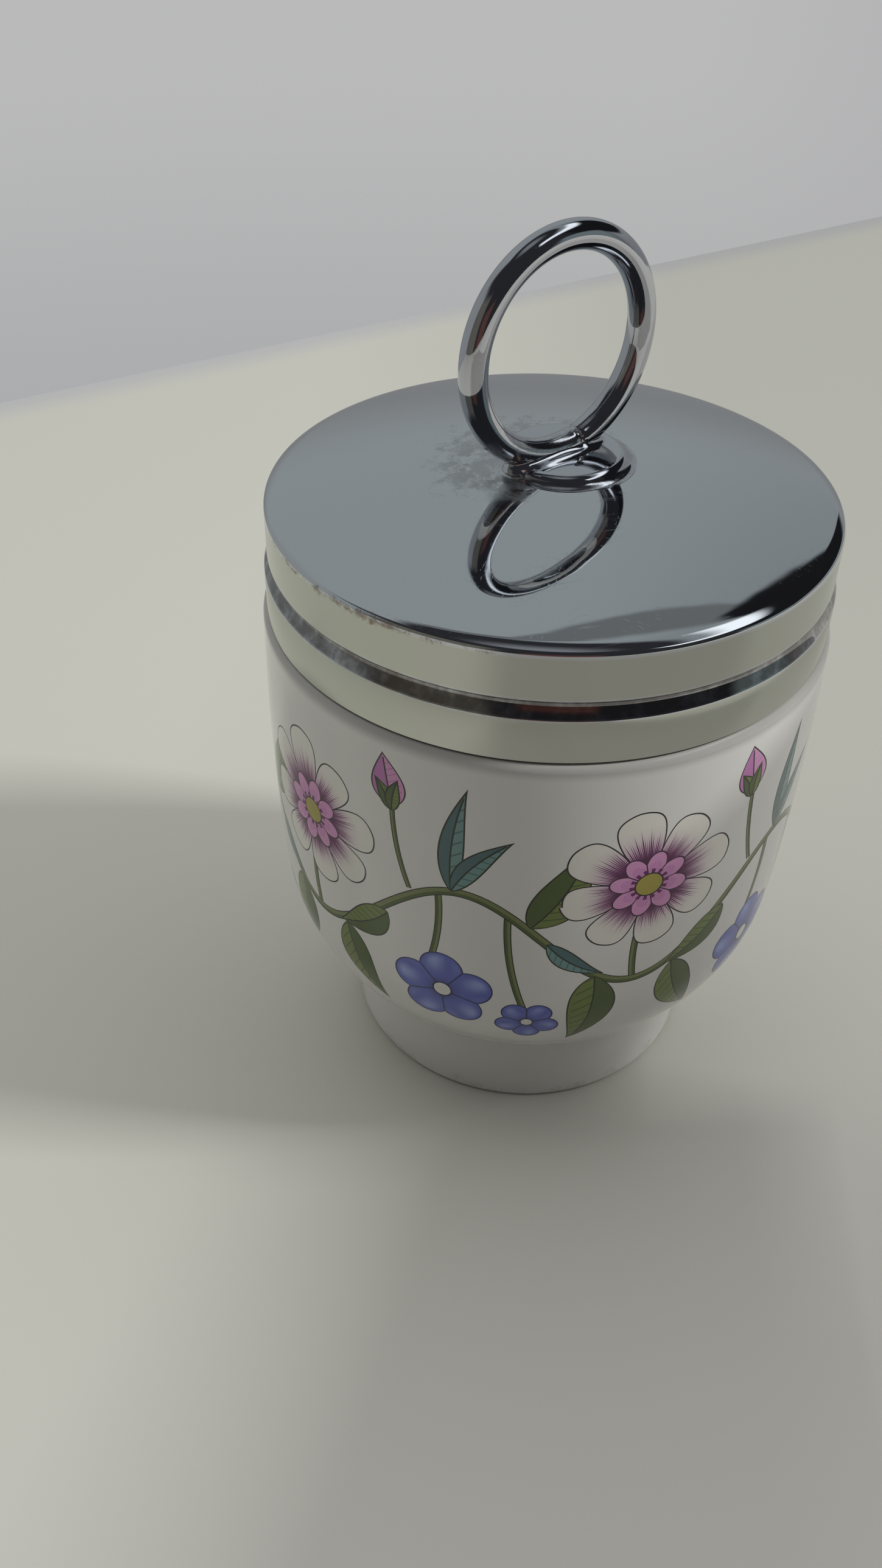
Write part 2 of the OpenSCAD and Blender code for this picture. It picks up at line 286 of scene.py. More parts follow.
# %% The joint where the wire's two ends meet
JOINT_AT, JOINT_W, JOINT_DEPTH = math.radians(-74.5), 0.22, 0.2
STEP_ASIDE, STEP_FADE, STEP_END = 0.14, 4, 20
for vertex in ring.data.vertices:
    x, y, z = vertex.co / MM - RING_AT
    round_ring, out = math.atan2(z, x), math.hypot(x, z)
    past = (round_ring - JOINT_AT) * RING_R
    pinch = 1 - JOINT_DEPTH * math.exp(-(past / JOINT_W) ** 2)
    aside = -STEP_ASIDE * math.exp(-past / STEP_FADE) if 0 < past < STEP_END else 0.0
    out = RING_R + (out - RING_R) * pinch
    vertex.co = (RING_AT + Vector((out * math.cos(round_ring), y * pinch + aside,
                                   out * math.sin(round_ring)))) * MM
cut_away(((0, 0, BASE_TOP - CUT_SUNK), (0, 0, -1)))
smooth()
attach(ring, "lid")
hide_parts("lift_ring")
print("ring faces:", len(ring.data.polygons))

# %% [markdown]
# ## Solder
# Melted solder drew itself into the corner round the ring's foot and ran over the base's left
# edge. Smoothing does the same to a mesh: it fills hollow corners and wears down raised ones.
# So the ring's foot, the base, a bead and the lid's crown are copied, remeshed as one, and
# smoothed. The copy is then sunk a little, and shows only where the corners were filled.

# %% Bead and crown, the shapes to be joined
BEAD_AT, BEAD_R = (-0.1, 0.1, 83.05), (6.9, 2.6, 0.65)
RUN_AT, RUN_R = (-6.0, 0.0, 82.5), (1.2, 1.5, 0.4)
CROWN_PART_R, CROWN_PART_Z, CROWN_PART_SLOPE = 12.0, CROWN_Z - 1.6, 4.6


def add_ball(name, place, radii):
    """An egg-shaped ball at place with these three radii, in mm."""
    bpy.ops.mesh.primitive_uv_sphere_add(segments=64, ring_count=32, radius=MM,
                                         location=[c * MM for c in place])
    bpy.context.object.scale = radii
    return name_piece(name)


crown_part = spin_outline(
    "crown_part", [(0.0, CROWN_PART_Z), (CROWN_PART_R, CROWN_PART_Z)]
    + arc((0, CROWN_Z - DOME_R), DOME_R, 90 - CROWN_PART_SLOPE, 90, 12), 96)
bead, run = add_ball("bead", BEAD_AT, BEAD_R), add_ball("run", RUN_AT, RUN_R)
print("bead and run:", len(bead.data.polygons) + len(run.data.polygons), "faces")

# %% One skin over them, smoothed
SOLDER_CELL, SOLDER_ROUNDS, RING_PART_TOP = 0.12, 80, BASE_TOP + 3.0
deselect_all()
for piece in (ring, base):
    piece.select_set(True)
bpy.context.view_layer.objects.active = base
bpy.ops.object.duplicate()
for piece in (crown_part, bead, run):
    piece.select_set(True)
bpy.ops.object.join()
solder = name_piece("foot_solder")
cut_away(((0, 0, RING_PART_TOP), (0, 0, 1)))
solder.data.remesh_voxel_size = SOLDER_CELL * MM
bpy.ops.object.voxel_remesh()
flow = solder.modifiers.new("flow", "SMOOTH")
flow.factor, flow.iterations = 0.5, SOLDER_ROUNDS
bpy.ops.object.modifier_apply(modifier="flow")
print("solder skin:", len(solder.data.polygons), "faces")

# %% Sinking the skin away from the ring's foot
FOOT_X, FOOT_HALF_W, FILLET_UP = (-5.0, 5.4), 1.5, BASE_TOP + 0.6
SINK, SINK_MORE, SINK_MOST, SINK_FROM, SINK_TO = 0.05, 0.3, 1.6, 0.7, 1.7
SKIN_LOW, SKIN_HIGH = (-10.6, -3.2, 81.0), (8.3, 3.6, 86.2)
normals = [vertex.normal.copy() for vertex in solder.data.vertices]
for vertex, normal in zip(solder.data.vertices, normals):
    x, y, z = vertex.co / MM
    x, y = x - RING_AT.x, y - RING_AT.y
    from_foot = math.hypot(max(FOOT_X[0] - x, x - FOOT_X[1], 0), y) - FOOT_HALF_W
    from_foot = max(from_foot, z - FILLET_UP)
    deep = min(max((from_foot - SINK_FROM) / (SINK_TO - SINK_FROM), 0), SINK_MOST)
    vertex.co -= normal * (SINK + SINK_MORE * deep * deep) * MM
for outward in (Vector((0, 0, 1)), Vector((1, 0, 0)), Vector((0, 1, 0))):
    cut_away((SKIN_LOW, -outward), (SKIN_HIGH, outward))
smooth()
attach(solder, "lid")
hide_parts("solder_seam")
print("solder:", len(solder.data.polygons), "faces")

# %% [markdown]
# ## Thread on the neck
# The lid screws down on a low ridge that winds round the neck. It shows when the lid is
# partly off. One small cross-section carried up and round by a Screw modifier gives the
# ridge, and its two ends are then sunk into the neck, as the real one runs out.

# %% Ridge that the lid screws on
THREAD_PITCH, THREAD_TURNS, THREAD_STEPS, RUN_OUT = 4.0, 1.6, 48, 5
CREST_R, THREAD_Z, RIDGE_FOOT, RIDGE_CREST = 30.0, 67.4, 1.6, 0.9
ROOT_R = NECK_R - 0.3

deselect_all()
bpy.ops.mesh.primitive_plane_add(size=MM, location=(ROOT_R * MM, 0, THREAD_Z * MM),
                                 rotation=(math.pi / 2, 0, 0))
thread = name_piece("neck_thread")
for vertex in thread.data.vertices:
    upper = 1 if vertex.co.z > THREAD_Z * MM else -1
    at_crest = vertex.co.x > ROOT_R * MM
    vertex.co = ((CREST_R if at_crest else ROOT_R) * MM, 0,
                 (THREAD_Z + upper * (RIDGE_CREST if at_crest else RIDGE_FOOT) / 2) * MM)
winding = thread.modifiers.new("winding", "SCREW")
winding.angle = 2 * math.pi * THREAD_TURNS
winding.screw_offset = THREAD_PITCH * THREAD_TURNS * MM
winding.steps = winding.render_steps = round(THREAD_STEPS * THREAD_TURNS)
winding.use_normal_calculate = True
bpy.ops.object.modifier_apply(modifier="winding")

# %% Sinking the ridge's ends
for vertex in thread.data.vertices:
    far = math.hypot(vertex.co.x, vertex.co.y) / MM
    if far > NECK_R:
        rise = (vertex.co.z / MM - THREAD_Z) / THREAD_PITCH * THREAD_STEPS
        from_end = min(rise, THREAD_STEPS * THREAD_TURNS - rise)
        grown = max(0.04, min(1, from_end / RUN_OUT))
        shrink = (ROOT_R + (CREST_R - ROOT_R) * grown) / far
        vertex.co.x *= shrink
        vertex.co.y *= shrink
smooth(merge=0.001, angle=30)
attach(thread, "cup")
print("thread:", len(thread.data.polygons), "faces")

# %% [markdown]
# ## Places on the cup for the decoration
# The flowers are fired on as thin sheets of colour that were laid round the cup while wet.
# A pattern that follows the surface needs its own map: millimetres round the side, and
# millimetres up along the curve from the fold above the foot. A second map lays the whole
# cup out from 0 to 1, with most of its room given to the painted side, for a baked texture.

# %% Two maps of the cup
PLAIN_SHARE, OUT_OF_REACH = 0.3, 1000


def map_cup(piece, outline):
    """Adds the maps Around, in mm, and OFBake, from 0 to 1, to the spun cup."""
    fold = next(i for i, (r, z) in enumerate(outline) if r > FOOT_R and z >= fillet_z - 1e-6)
    shoulder = max(i for i, (r, z) in enumerate(outline[:len(cup_outside)])
                   if r > NECK_R + 1 and z <= SHOULDER_Z + 1e-6)
    lengths, shares = [0.0], [0.0]
    for i in range(1, len(outline)):
        step = math.dist(outline[i], outline[i - 1])
        lengths.append(lengths[-1] + step)
        shares.append(shares[-1] + step * (1 if fold < i <= shoulder else PLAIN_SHARE))
    finder = KDTree(len(outline))
    for i, (r, z) in enumerate(outline):
        finder.insert((r, z, 0), i)
    finder.balance()
    around = piece.data.uv_layers.new(name="Around")
    baked = piece.data.uv_layers.new(name="OFBake")
    for face in piece.data.polygons:
        middle = math.atan2(face.center.y, face.center.x)
        for loop in face.loop_indices:
            x, y, z = piece.data.vertices[piece.data.loops[loop].vertex_index].co / MM
            i = finder.find((math.hypot(x, y), z, 0))[1]
            angle = math.atan2(y, x) if math.hypot(x, y) > 0.001 else middle
            angle += 2 * math.pi * round((middle - angle) / (2 * math.pi))
            height = lengths[i] - lengths[fold] if i <= shoulder else OUT_OF_REACH
            around.data[loop].uv = (angle * BODY_R, height)
            baked.data[loop].uv = (angle / (2 * math.pi) + 0.5, shares[i] / shares[-1])
    return lengths[shoulder] - lengths[fold]


print("painted side, mm:", round(map_cup(cup, without_repeats(cup_outside + cup_inside)), 1))

# %% [markdown]
# ## Drawing with numbers
# A pattern on a surface is arithmetic on its coordinates. Written as nodes, a petal's edge
# takes dozens of Math nodes, so a small helper turns each sum or product into a node, and the
# formulas below read as they would on paper.

# %% Helpers that add nodes
def plug(socket, value):
    """Sets an input to a number or colour, or links it to another node's output."""
    value = getattr(value, "socket", value)
    if isinstance(value, bpy.types.NodeSocket):
        socket.id_data.links.new(value, socket)
    else:
        socket.default_value = value


def add_node(tree, kind, inputs, **settings):
    """Adds a shader node with these settings, and inputs that are given by name or number."""
    node = tree.nodes.new("ShaderNode" + kind)
    for name, value in settings.items():
        setattr(node, name, value)
    for key, value in inputs.items():
        plug(node.inputs[key], value)
    return node


# %% Arithmetic that adds Math nodes
class Field:
    """A value that changes over the surface. Arithmetic on it adds Math nodes."""

    def __init__(self, socket):
        self.socket, self.tree = socket, socket.id_data

    def math(self, operation, *others, first=None):
        values = (self, *others) if first is None else (first, self)
        node = add_node(self.tree, "Math", dict(enumerate(values)), operation=operation)
        return Field(node.outputs[0])

    def __radd__(self, other): return self.math("ADD", other)
    def __rmul__(self, other): return self.math("MULTIPLY", other)
    def __rsub__(self, other): return self.math("SUBTRACT", first=other)
    def __rtruediv__(self, other): return self.math("DIVIDE", first=other)
    def __abs__(self): return self.math("ABSOLUTE")

    def ramp(self, low, high):
        """0 below low, 1 above high, and smooth between; low may be the larger."""
        node = add_node(self.tree, "MapRange", {0: self, 1: low, 2: high, 3: 0.0, 4: 1.0},
                        interpolation_type="SMOOTHSTEP")
        return Field(node.outputs[0])


# each sign of arithmetic, when it stands after a field
for sign, operation in (("add", "ADD"), ("sub", "SUBTRACT"), ("mul", "MULTIPLY"),
                        ("truediv", "DIVIDE"), ("pow", "POWER"), ("lt", "LESS_THAN"),
                        ("gt", "GREATER_THAN"), ("or", "MAXIMUM")):
    setattr(Field, f"__{sign}__",
            lambda self, other, operation=operation: self.math(operation, other))


def hypot(a, b):
    """The distance that two fields span at right angles."""
    return (a * a + b * b).math("SQRT")


def axes_of(vector):
    """Three fields: a vector's x, y and z."""
    return [Field(s) for s in add_node(vector.tree, "SeparateXYZ", {0: vector}).outputs]


# %% Helpers for colours and groups
def paint(red, green, blue):
    """A colour of a paint chart, 0 to 255, as the linear values that shaders use."""
    return tuple((c / 255 / 12.92) if c < 10.3 else ((c / 255 + 0.055) / 1.055) ** 2.4
                 for c in (red, green, blue)) + (1.0,)


def lay(under, *layers):
    """Lays colours on the colour under, one after another, each where its own mask is 1."""
    for over, mask in layers:
        node = add_node(mask.tree, "Mix", {0: mask, 6: under, 7: over}, data_type="RGBA")
        under = Field(node.outputs[2])
    return under


def new_group(name, outputs, **inputs):
    """A new group's inputs, as fields, and the function that fills its outputs and gives it."""
    tree = bpy.data.node_groups.new(name, "ShaderNodeTree")
    for label, kind in {"Place": "Vector", **outputs}.items():
        tree.interface.new_socket(name=label, socket_type="NodeSocket" + kind,
                                  in_out="INPUT" if label == "Place" else "OUTPUT")
    for label, value in inputs.items():
        kind = "Color" if isinstance(value, tuple) else "Float"
        tree.interface.new_socket(name=label, in_out="INPUT",
                                  socket_type="NodeSocket" + kind).default_value = value
    into, out = tree.nodes.new("NodeGroupInput"), tree.nodes.new("NodeGroupOutput")

    def close(*values):
        for socket, value in zip(out.inputs, values):
            plug(socket, value)
        return tree

    return {socket.name: Field(socket) for socket in into.outputs}, close


def use_group(group, place, **values):
    """Puts a group in place's tree, sets its inputs, and gives its outputs as fields."""
    node = add_node(place.tree, "Group", {"Place": place, **values}, node_tree=group)
    return [Field(socket) for socket in node.outputs]


# %% [markdown]
# ## Motifs
# Each motif is a group that paints one flower, leaf or stalk. All repeat five times round
# the cup, so a motif first wraps the distance from its own middle into one repeat. Petals are
# drawn in polar coordinates, where an edge is a distance from the middle that depends on the
# angle.

# %% Local coordinates of a motif
REPEAT, ROUND = 2 * math.pi * BODY_R / 5, 2 * math.pi
MOTIF = dict(Across=0.0, Up=20.0, Turn=0.0, Size=10.0)
PAINTED = dict(Colour="Color", Mask="Float")


def motif_axes(into):
    """Two fields: mm along and across the motif, turned by its Turn in degrees."""
    x, y, _ = axes_of(into["Place"])
    across = (x - into["Across"]).math("WRAP", REPEAT / 2, -REPEAT / 2)
    up = y - into["Up"]
    angle = into["Turn"] * math.radians(1)
    cos, sin = angle.math("COSINE"), angle.math("SINE")
    return across * cos + up * sin, up * cos - across * sin


def polar_axes(into):
    """Two fields: mm from the motif's middle, and the angle round it."""
    along, aside = motif_axes(into)
    return hypot(along, aside), aside.math("ARCTAN2", along)


def petal_sector(angle, petals, gap=0.0):
    """The number of the petal that an angle falls in, and how far across it, -0.5 to 0.5."""
    turn = angle * (petals / ROUND) + gap
    number = turn.math("ROUND")
    return number, turn - number


def gap_line(side, far, petals, width):
    """1 within width mm of the line between two petals."""
    return (0.5 - abs(side)) * far * (ROUND / petals) < width


def chance(number):
    """A number from 0 to 1 that is different for each whole number, and always the same."""
    node = add_node(number.tree, "TexWhiteNoise", {"W": number}, noise_dimensions="1D")
    return Field(node.outputs["Value"])


# %% Rosette with hatched petals
INK = paint(52, 34, 48)
PURPLE, MAUVE = paint(104, 34, 92), paint(186, 118, 176)
PALE, PINK = paint(228, 226, 216), paint(214, 150, 196)
GOLD = paint(168, 156, 70)
PETALS, HATCHES, INNER_HATCHES, DOTS = 8, 22, 9, 14
INNER, DOTTED, BUTTON = 0.43, 0.21, 0.15


def make_rosette():
    into, close = new_group("rosette", PAINTED, **MOTIF)
    size = into["Size"]
    far, angle = polar_axes(into)
    number, side = petal_sector(angle, PETALS)
    length = (chance(number) * 0.1 + 0.9) * size
    wide = abs(side) * 2
    edge = length * (1 - 0.13 * wide ** 1.7 - 0.3 * wide ** 6)
    slope = (wide * 0.2 + wide ** 5 * 1.8) * (length / (far + 0.01)) * (PETALS / math.pi)
    inside = (edge - far) / (slope * slope + 1).math("SQRT")
    # hatching: fine strokes of random length that thin out towards the petal's tip
    streak = side * HATCHES
    streak_number = streak.math("FLOOR")
    ridge = 1 - abs(streak - streak_number - 0.5) * 2
    reach = chance(streak_number + number * 31) * 0.2 + 0.66 - wide * wide * 0.14
    share = far / length
    hatch = ridge > share.ramp(reach * 0.5, reach)
    # small inner petals, half a petal turned, round a button
    inner_side = petal_sector(angle, PETALS, 0.5)[1]
    inner_edge = size * INNER * (1 - inner_side * inner_side * 1.5)
    within = far < inner_edge
    inner_hatch = ((inner_side * INNER_HATCHES).math("FRACT") > 0.6) * (far < inner_edge * 0.72)
    inner_gap = gap_line(inner_side, far, PETALS, 0.08) * within
    dots = ((angle * (DOTS / ROUND)).math("FRACT") > 0.5) * (far < size * DOTTED)
    return close(lay(
        PALE, (MAUVE, share.ramp(0.84, 0.34) * 0.7), (PURPLE, hatch * share.ramp(1.0, 0.55)),
        (INK, share.ramp(0.5, 0.3) * 0.65),
        (INK, (inside < 0.2) | gap_line(side, far, PETALS, 0.09)),
        (PINK, within), (MAUVE, inner_hatch), (INK, (abs(inner_edge - far) < 0.1) | inner_gap),
        (PURPLE, dots), (INK, far < size * BUTTON + 0.1), (GOLD, far < size * BUTTON - 0.1)),
        inside > 0)


# %% Flower with round petals
BLUE, SKY, NAVY = paint(92, 102, 184), paint(150, 164, 222), paint(40, 44, 96)
ROUND_PETALS, PETAL_MIDDLE, PETAL_R, STREAKS = 5, 0.56, 0.42, 11


def make_round_flower():
    into, close = new_group("round_flower", PAINTED, **MOTIF)
    size = into["Size"]
    far, angle = polar_axes(into)
    number, side = petal_sector(angle, ROUND_PETALS)
    turn = side * (ROUND / ROUND_PETALS)
    along, aside = far * turn.math("COSINE"), far * turn.math("SINE")
    outwards = along - size * PETAL_MIDDLE
    inside = size * PETAL_R - hypot(outwards, aside)
    brush = ((aside / size * STREAKS + chance(number)).math("SINE") + 1) * 0.5
    light = brush * outwards.ramp(-1.5, 1.5) * inside.ramp(0.1, 1.2)
    line = (inside < 0.2) | gap_line(side, far, ROUND_PETALS, 0.1)
    throat = (far < size * 0.4) * (inside > -0.3)
    return close(lay(
        BLUE, (SKY, light), (NAVY, (far / size).ramp(0.42, 0.1) * 0.6), (NAVY, line),
        (NAVY, far < size * 0.2), (PALE, far < size * 0.16), (GOLD, far < size * 0.08)),
        (inside > 0) | throat)


# %% Leaves and stalks
LEAF, LEAF_DARK, LEAF_INK = paint(112, 128, 62), paint(76, 94, 44), paint(38, 44, 26)
TEAL = dict(Light=paint(112, 150, 146), Dark=paint(74, 108, 110))
STEM, LEAF_SWELL, VEINS, VINE_HALF_W = paint(120, 128, 76), 0.7, 9, 0.62


def bent_axes(into):
    """Share of the way along a bent motif, and mm aside from its middle line."""
    along, aside = motif_axes(into)
    t = along / into["Size"]
    return t, aside - t * (1 - t) * into["Bend"]


def make_leaf():
    """A pointed leaf whose midrib bends; Size is its length, and it starts at its middle point."""
    into, close = new_group("leaf", PAINTED, **MOTIF, Width=3.0, Bend=0.0, Light=LEAF,
                            Dark=LEAF_DARK)
    t, aside = bent_axes(into)
    swell = ((t.math("MAXIMUM", 0.0001) ** LEAF_SWELL) * math.pi).math("SINE")
    half = swell * into["Width"] * 0.5
    inside = half - abs(aside)
    vein = ((t * VEINS - abs(aside) * 0.5).math("FRACT") < 0.16) * (abs(aside) < half * 0.8)
    line = (inside < 0.2) | (abs(aside) < 0.1) * (t < 0.9)
    return close(lay(into["Light"], (into["Dark"], aside > 0), (into["Dark"], vein),
                     (LEAF_INK, line)), (inside > 0) * ((t > 0) * (t < 1)))


def make_stalk():
    """A bent stalk of even width; Size is its length."""
    into, close = new_group("stalk", PAINTED, **MOTIF, Width=0.9, Bend=0.0)
    t, aside = bent_axes(into)
    inside = into["Width"] * 0.5 - abs(aside)
    return close(lay(STEM, (LEAF_DARK, aside < 0), (LEAF_INK, inside < 0.14)),
                 (inside > 0) * (t > 0) * (t < 1))


def make_vine():
    """The wavy stem that runs right round the cup; Size is the height of its waves."""
    into, close = new_group("vine", PAINTED, **MOTIF)
    x, y, _ = axes_of(into["Place"])
    phase = (x - into["Across"]) * (ROUND / REPEAT)
    wave = phase.math("SINE") * into["Size"] + into["Up"]
    slope = phase.math("COSINE") * into["Size"] * (ROUND / REPEAT)
    aside = (y - wave) / (slope * slope + 1).math("SQRT")
    inside = VINE_HALF_W - abs(aside)
    return close(lay(STEM, (LEAF_DARK, aside < -0.05), (LEAF_INK, inside < 0.15)), inside > 0)


# %% The five motifs
rosette, round_flower = make_rosette(), make_round_flower()
leaf, stalk, vine = make_leaf(), make_stalk(), make_vine()
for group in (rosette, round_flower, leaf, stalk, vine):
    print(group.name, len(group.nodes), "nodes")

# %% Garland of one repeat, from the lowest layer: motif, across, up, turn, size, and the rest
BUD = dict(Light=PINK, Dark=MAUVE)
GARLAND = [
    (stalk, 20.9, 23.5, 92, 10, dict(Bend=1.5)),
    (stalk, -2.5, 37.5, -96, 13, dict(Bend=2.5)),
    (stalk, 5.5, 36, -81, 17, dict(Bend=-3.0)),
    (stalk, -6, 36.5, 100, 12, dict(Bend=2.0, Width=0.7)),
    (vine, -REPEAT / 4, 31, 0, 7, {}),
    (leaf, 16, 25.5, -98, 14, dict(Width=6, Bend=4)),
    (leaf, 26, 25, -66, 13, dict(Width=5.4, Bend=-4)),
    (leaf, 8, 34, 66, 13.5, dict(Width=5.6, Bend=-4)),
    (leaf, -9, 31, -142, 10, dict(Width=4.6, Bend=3)),
    (leaf, -1, 38, 84, 15, dict(Width=3, Bend=3, **TEAL)),
    (leaf, -1, 38, 52, 11, dict(Width=2.8, Bend=3, **TEAL)),
    (leaf, 10, 31.5, -38, 9, dict(Width=2.8, Bend=-3, **TEAL)),
    (leaf, -8.1, 47.5, 100, 7, dict(Width=4.4, **BUD)),
    (leaf, -8.1, 47, 120, 4.5, dict(Width=2, Bend=-1)),
    (leaf, -8.1, 47, 80, 4.5, dict(Width=2, Bend=1)),
    (rosette, 20.9, 39.5, 12, 11, {}),
    (round_flower, -2, 21, 20, 6.6, {}),
    (round_flower, 8.5, 17, -16, 4.2, {}),
]
FIRST_REPEAT = math.radians(-143.8) * BODY_R


def paint_garland(ground):
    """Lays every motif of the garland on the ground colour and gives the painted colour."""
    around = add_node(ground.tree, "UVMap", {}, uv_map="Around").outputs[0]
    shift = add_node(ground.tree, "Mapping", {"Vector": around, "Location": (-FIRST_REPEAT, 0, 0)})
    place = Field(shift.outputs[0])
    return lay(ground, *(use_group(group, place, Across=across, Up=up, Turn=turn, Size=size, **more)
                         for group, across, up, turn, size, more in GARLAND))


print("garland:", len(GARLAND), "motifs in each of five repeats")

# %% [markdown]
# ## Wear
# Years of boiling leave the same few marks on every piece: patchy stains that gather near a
# joint or an edge, dark specks, hair scratches, and a surface that is nowhere quite even. Each
# is a group that gives a mask or a height, so all materials share them with their own values.

# %% Noise
def divided(place, by):
    """A vector divided by a number or by another vector."""
    return Field(add_node(place.tree, "VectorMath", {0: place, 1: by},
                          operation="DIVIDE").outputs[0])


def noise(place, across, detail=2.0, rough=0.5, stretch=(1, 1, 1), turn=0.0):
    """Noise whose blobs are about across mm wide, stretched and turned about the upright axis."""
    turned = add_node(place.tree, "Mapping", {"Vector": place, "Rotation": (0, 0, turn)})
    texture = add_node(place.tree, "TexNoise", {
        "Vector": divided(Field(turned.outputs[0]), stretch), "Scale": 1 / across,
        "Detail": detail, "Roughness": rough})
    return Field(texture.outputs["Fac"])


# %% Stains, specks, scratches and unevenness
MASK = dict(Mask="Float")


def make_stains():
    """Patches that thin out with Distance, in mm, and are gone at Reach."""
    into, close = new_group("stains", MASK, Distance=0.0, Reach=5.0)
    nearness = 1 - into["Distance"] / into["Reach"]
    nearness = nearness.math("MAXIMUM", 0.0).math("MINIMUM", 1.0)
    patches = noise(into["Place"], 2.4, 7, 0.66)
    grains = noise(into["Place"], 0.35, 3, 0.6)
    mask = (patches * 0.75 + grains * 0.25 + nearness * 0.2).ramp(0.58, 0.74)
    return close(mask * nearness.ramp(0, 0.25))


def make_specks():
    """Round dots of Size mm, one in a cell of Spacing mm, on the Share of cells that have one."""
    into, close = new_group("specks", MASK, Spacing=3.0, Size=0.3, Share=0.3)
    place = into["Place"]
    cells = add_node(place.tree, "TexVoronoi", {"Vector": place, "Scale": 1 / into["Spacing"]})
    draw = add_node(place.tree, "SeparateColor", {0: cells.outputs["Color"]}).outputs[0]
    radius = into["Size"] / into["Spacing"] * 0.5
    near = (Field(cells.outputs["Distance"]) / radius).ramp(1.15, 0.7)
    return close(near * (Field(draw) < into["Share"]))


def make_scratches():
    """Hair lines in three directions, in short runs."""
    into, close = new_group("scratches", MASK)
    lines = [noise(into["Place"], 0.16, 1, 0.5, (60, 1, 1), turn).ramp(0.68, 0.74)
             * noise(into["Place"], 7, 1, 0.5, (1, 1, 1), turn * 3).ramp(0.5, 0.62)
             for turn in (0.35, 1.25, 2.5)]
    return close(lines[0] | lines[1] | lines[2])


def make_unevenness():
    """A height of about -1 to 1, in waves that are about Across mm wide."""
    into, close = new_group("unevenness", dict(Height="Float"), Across=8.0)
    return close(noise(divided(into["Place"], into["Across"]), 1, 2, 0.4) * 2 - 1)


stains, specks = make_stains(), make_specks()
scratches, unevenness = make_scratches(), make_unevenness()
print("kinds of wear:", stains.name, specks.name, scratches.name, unevenness.name)

# %% Helpers for materials
def new_material(name, colour, metallic, roughness, **constants):
    """A material whose shader has these plain values, its shader, and its place in mm."""
    material = bpy.data.materials.new(name)
    material.use_nodes = True
    tree = material.node_tree
    shader = tree.nodes["Principled BSDF"]
    values = {"Base Color": colour, "Metallic": metallic, "Roughness": roughness, **constants}
    for label, value in values.items():
        shader.inputs[label].default_value = value
    own = add_node(tree, "TexCoord", {}).outputs["Object"]
    scaled = add_node(tree, "Mapping", {"Vector": own, "Scale": (1 / MM, 1 / MM, 1 / MM)})
    return material, shader, Field(scaled.outputs[0])


def finish(shader, colour, roughness, height, depth_mm):
    """Links a shader's colour and roughness, and raises its surface by height times depth_mm."""
    plug(shader.inputs["Base Color"], colour)
    plug(shader.inputs["Roughness"], roughness)
    bump = add_node(shader.id_data, "Bump", {"Height": height, "Distance": depth_mm * MM,
                                             "Strength": 1.0})
    plug(shader.inputs["Normal"], bump.outputs[0])


def dress(piece, material):
    piece.data.materials.clear()
    piece.data.materials.append(material)


# %% [markdown]
# ## Glaze
# Clear glaze over white china: a hard, smooth, slightly warm white that reflects like water.
# The decoration lies under it, so it changes only the colour. Round the resting foot the
# glaze was wiped off, and the bare china is duller and a little soiled.

# %% Glazed and painted porcelain
def make_glaze(name, decorated):
    material, shader, place = new_material(name, paint(222, 221, 216), 0.0, 0.07)
    z = axes_of(place)[2]
    cloud = use_group(unevenness, place, Across=14.0)[0]
    colour = lay(paint(220, 219, 214), (paint(225, 224, 220), cloud * 0.5 + 0.5))
    if decorated:
        colour = paint_garland(colour)
    # painted shade: grey that darkens the last 2 mm of the side below the shoulder, just under the
    # skirt's edge
    painted_shade_under_lid = z.ramp(SHOULDER_Z - 2.0, SHOULDER_Z - 0.2) * (z < SHOULDER_Z + 0.1)
    soil = use_group(stains, place, Distance=abs(z), Reach=3.0)[0]
    dots = use_group(specks, place, Spacing=9.0, Size=0.22, Share=0.25)[0]
    bare = z.ramp(0.5, 0.25)
    finish(shader, lay(colour, (paint(120, 117, 110), painted_shade_under_lid * 0.6),
                       (paint(176, 168, 150), soil * 0.35), (paint(120, 110, 96), dots * 0.6)),
           bare * 0.4 + 0.07 + soil * 0.2, cloud + dots * 0.4, 0.02)
    return material


dress(cup, make_glaze("painted_glaze", True))
dress(thread, make_glaze("plain_glaze", False))

# %% [markdown]
# ## Chromed sheet
# The lid's top is polished chrome, so it shows the room. The two bands of its skirt are
# satin, finished with fine lines that run round, which draws each reflected light out into an
# upright streak. That is anisotropy, with a tangent that runs round the axis.

# %% The lid's finish
GROOVE_MIDDLE, FLUX_AT, RUST_AT = (GROOVE_Z + BAND_Z) / 2, (-8.0, -1.5), (-31.5, -8.5)
HALO_AT, TOP_FROM = (-1.6, 1.6), CROWN_Z - 2


